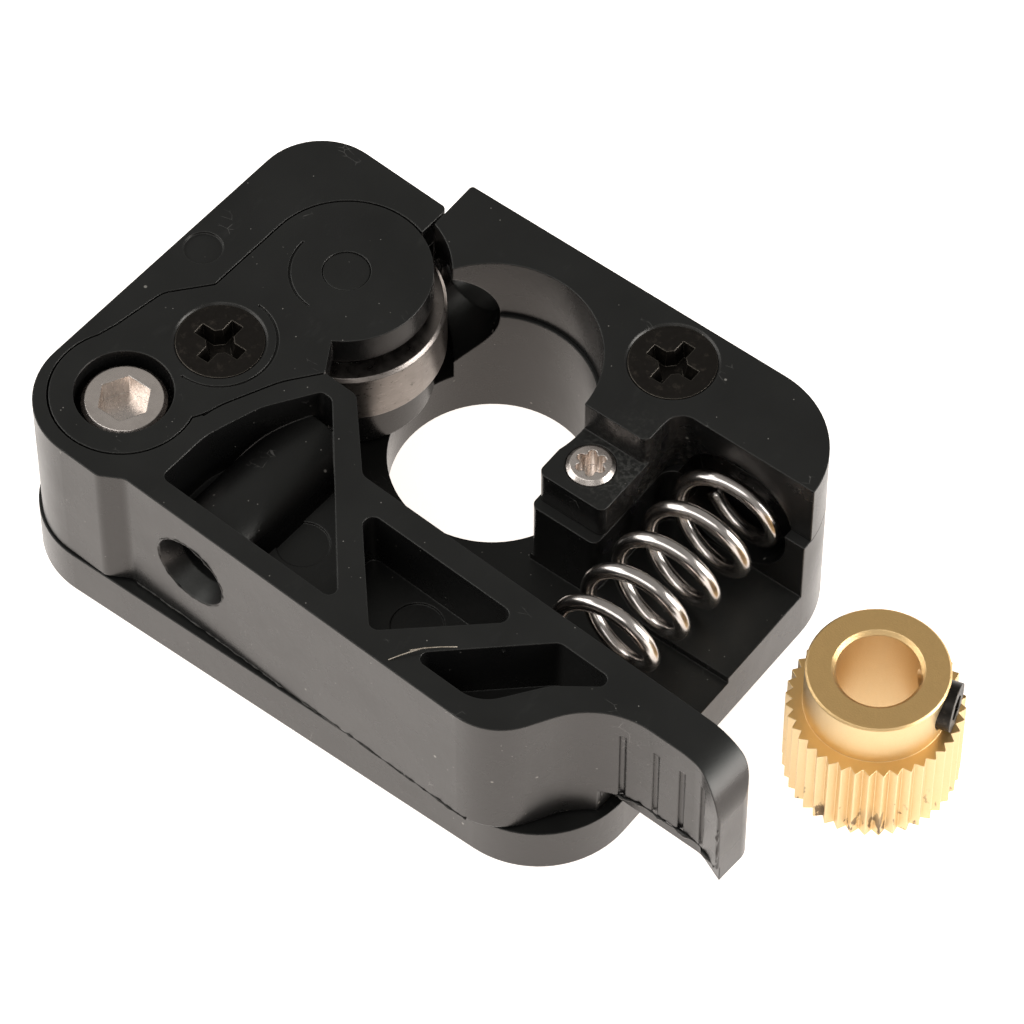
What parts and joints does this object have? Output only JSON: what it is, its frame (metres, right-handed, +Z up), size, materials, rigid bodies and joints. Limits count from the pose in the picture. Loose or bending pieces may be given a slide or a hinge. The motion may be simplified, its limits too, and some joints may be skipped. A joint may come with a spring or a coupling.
{
  "type": "extruder gear assembly",
  "caption": "Direct-drive filament feeder: fixed block, sprung swing lever with idler bearing and clamp plate, coil spring, and the loose toothed drive gear for the motor shaft.",
  "frame": {"origin": "motor shaft axis at the block's underside, where the motor's face sits", "axes": "+Z up along the motor shaft, +X along the lever's long arm, +Y the way the filament travels"},
  "size_m": [0.0563, 0.0309, 0.014],
  "materials": {
    "black_plastic": "moulded, dull on top and glossier on the walls",
    "black_steel": "black oxide",
    "zinc_steel": "zinc plated",
    "bright_steel": "satin",
    "spring_steel": "bright drawn wire",
    "bearing_steel": "ground",
    "cage_brass": "pressed",
    "gear_brass": "satin"
  },
  "bodies": {
    "frame": {"base_block": "black_plastic", "tower_cap": "black_plastic", "tower_screw": "black_steel", "tower_nut": "zinc_steel", "foot_screw": "bright_steel", "pivot_screw": "bright_steel", "pivot_sleeve": "zinc_steel", "spring": "spring_steel"},
    "lever": {"lever": "black_plastic", "clamp_plate": "black_plastic", "clamp_screw": "black_steel", "clamp_nut": "zinc_steel", "bearing_pin": "black_steel", "bearing_inner_ring": "bearing_steel"},
    "idler_ring": {"bearing_outer_ring": "bearing_steel", "bearing_shield_upper": "bearing_steel", "bearing_shield_lower": "bearing_steel"},
    "ball_train": {"bearing_balls": "bearing_steel", "bearing_cage": "cage_brass"},
    "gear": {"drive_gear": "gear_brass", "gear_set_screw": "black_steel"}
  },
  "joints": [
    {"name": "lever_swing", "type": "hinge", "parent": "frame", "child": "lever", "pos_m": [-0.0155, -0.0155, 0], "axis": [0, 0, 1], "range_deg": [0, 8], "stiffness_Nm_per_rad": 9, "springref_deg": -3.78, "deforming": ["spring"]},
    {"name": "idler_spin", "type": "hinge", "parent": "lever", "child": "idler_ring", "pos_m": [-0.01061, -0.00049, 0.009], "axis": [0, 0, 1], "continuous": true},
    {"name": "ball_train_spin", "type": "hinge", "parent": "lever", "child": "ball_train", "pos_m": [-0.01061, -0.00049, 0.009], "axis": [0, 0, 1], "continuous": true},
    {"name": "gear_spin", "type": "hinge", "parent": "frame", "child": "gear", "pos_m": [0.0298, -0.00193, 0], "axis": [0, 0, 1], "continuous": true}
  ],
  "couplings": [
    {"joint": "ball_train_spin", "follows": "idler_spin", "ratio": 0.6}
  ]
}
